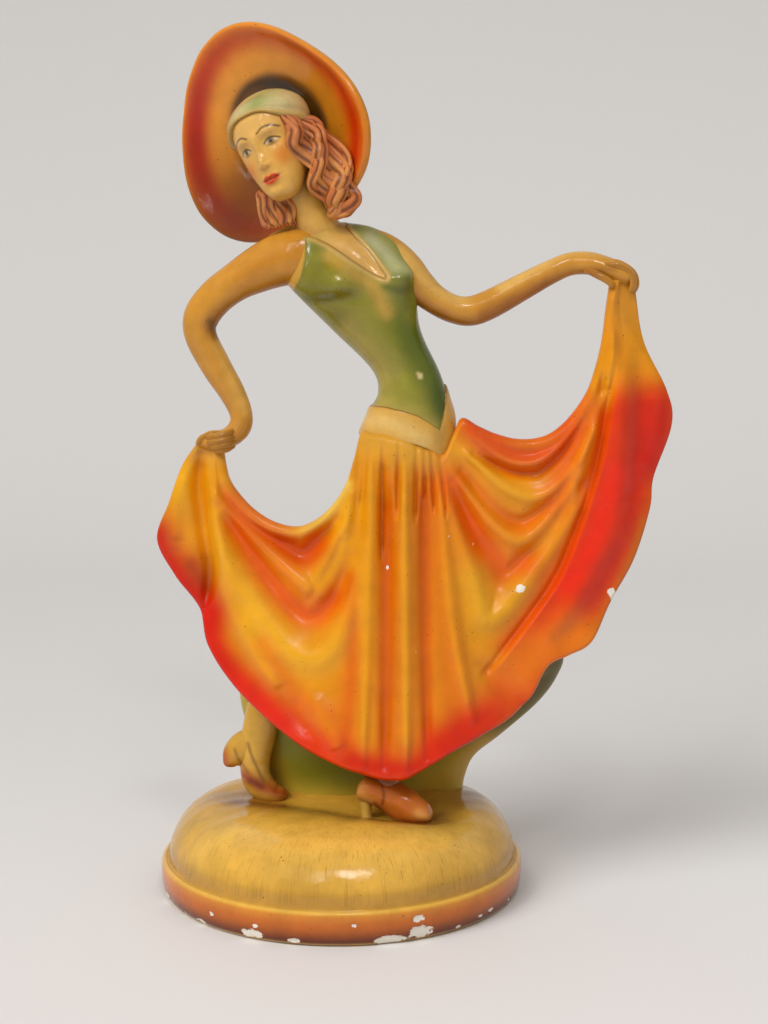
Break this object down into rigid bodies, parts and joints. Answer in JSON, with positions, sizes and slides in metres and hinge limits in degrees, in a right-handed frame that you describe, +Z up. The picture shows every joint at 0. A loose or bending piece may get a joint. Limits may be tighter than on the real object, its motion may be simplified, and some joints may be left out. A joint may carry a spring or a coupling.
{
  "type": "chalkware dancing lady figure",
  "caption": "Painted plaster figure of a dancing lady in a wide hat, lifting a folded swag skirt with both hands, standing on a round domed base.",
  "frame": {"origin": "centre of the flat ring that the base stands on", "axes": "+Z up through the figure, +Y away from the viewer, +X to the viewer's right"},
  "size_m": [0.2285, 0.162, 0.3814],
  "materials": {
    "base": "painted plaster under glossy varnish",
    "underskirt": "painted plaster under glossy varnish",
    "skirt": "painted plaster under glossy varnish",
    "skin": "painted plaster under glossy varnish",
    "shoe": "painted plaster under glossy varnish",
    "hip_band": "painted plaster under glossy varnish",
    "bodice": "painted plaster under glossy varnish",
    "cap": "painted plaster under glossy varnish",
    "hair": "painted plaster under glossy varnish",
    "hat": "painted plaster under glossy varnish",
    "wire": "plain drawn wire"
  },
  "bodies": {
    "root": {"base_plinth": "base", "underskirt": "underskirt", "skirt_front_panel": "skirt", "skirt_right_drape": "skirt", "skirt_left_drape": "skirt", "right_leg": "skin", "right_shoe": "shoe", "left_leg": "skin", "left_shoe": "shoe", "hip_band": "hip_band", "bodice": "bodice", "neck_and_chest": "skin", "head": "skin", "cap": "cap", "hair_left": "hair", "hair_right": "hair", "hat_brim": "hat", "hat_crown": "hat", "right_upper_arm": "skin", "right_forearm": "skin", "right_hand": "skin", "left_upper_arm": "skin", "left_forearm": "skin", "left_hand": "skin", "right_arm_wire": "wire", "left_arm_wire": "wire"}
  },
  "joints": []
}
